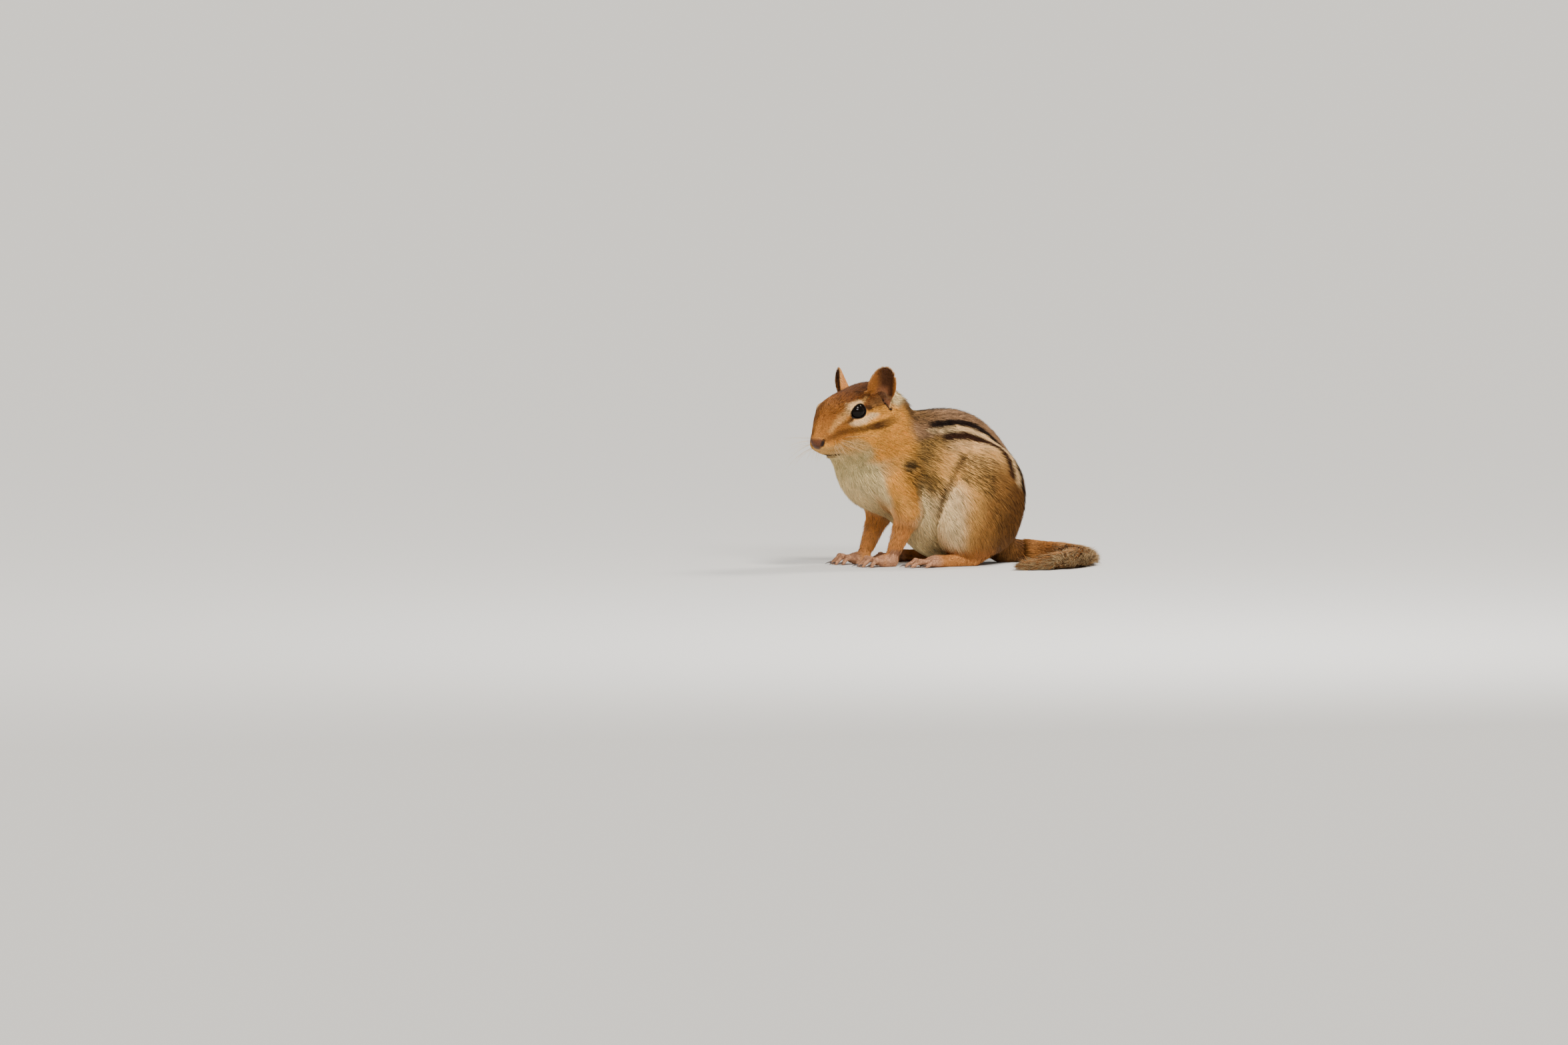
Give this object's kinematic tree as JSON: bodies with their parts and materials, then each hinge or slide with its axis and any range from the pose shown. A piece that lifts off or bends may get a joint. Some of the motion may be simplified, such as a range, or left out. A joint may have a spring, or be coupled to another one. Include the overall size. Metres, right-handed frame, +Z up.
{
  "type": "chipmunk figure",
  "caption": "Life-size eastern chipmunk, hunched on all fours with its head turned to the left and its bushy tail curled round on the floor.",
  "frame": {"origin": "on the floor, under the middle of the part's bounding box", "axes": "+Z up, -Y the way the body faces, +X its left side"},
  "size_m": [0.084, 0.1212, 0.0811],
  "materials": {
    "back_fur": "striped brown fur",
    "head_fur": "rusty brown fur with pale stripes",
    "haunch_fur": "rusty ochre fur",
    "foreleg_fur": "buff orange fur",
    "tail_fur": "long dark fur over a rusty base",
    "foot": "thinly furred pinkish brown skin",
    "ear": "thinly furred skin",
    "nose": "bare pinkish brown skin",
    "eye": "wet black",
    "claw": "dark horn"
  },
  "bodies": {
    "root": {"claw_fore_left_1": "claw", "claw_fore_left_2": "claw", "claw_fore_left_3": "claw", "claw_fore_left_4": "claw", "claw_fore_right_1": "claw", "claw_fore_right_2": "claw", "claw_fore_right_3": "claw", "claw_fore_right_4": "claw", "claw_hind_left_1": "claw", "claw_hind_left_2": "claw", "claw_hind_left_3": "claw", "claw_hind_left_4": "claw", "claw_hind_left_5": "claw", "claw_hind_right_1": "claw", "claw_hind_right_2": "claw", "claw_hind_right_3": "claw", "claw_hind_right_4": "claw", "claw_hind_right_5": "claw", "ear_left": "ear", "ear_right": "ear", "eye_left": "eye", "eye_right": "eye", "forefoot_left": "foot", "forefoot_right": "foot", "foreleg_left": "foreleg_fur", "foreleg_right": "foreleg_fur", "head": "head_fur", "hindfoot_left": "foot", "hindfoot_right": "foot", "hindleg_left": "haunch_fur", "hindleg_right": "haunch_fur", "neck": "back_fur", "nose": "nose", "tail_base": "tail_fur", "tail_middle": "tail_fur", "tail_tip": "tail_fur", "torso": "back_fur"}
  },
  "joints": []
}
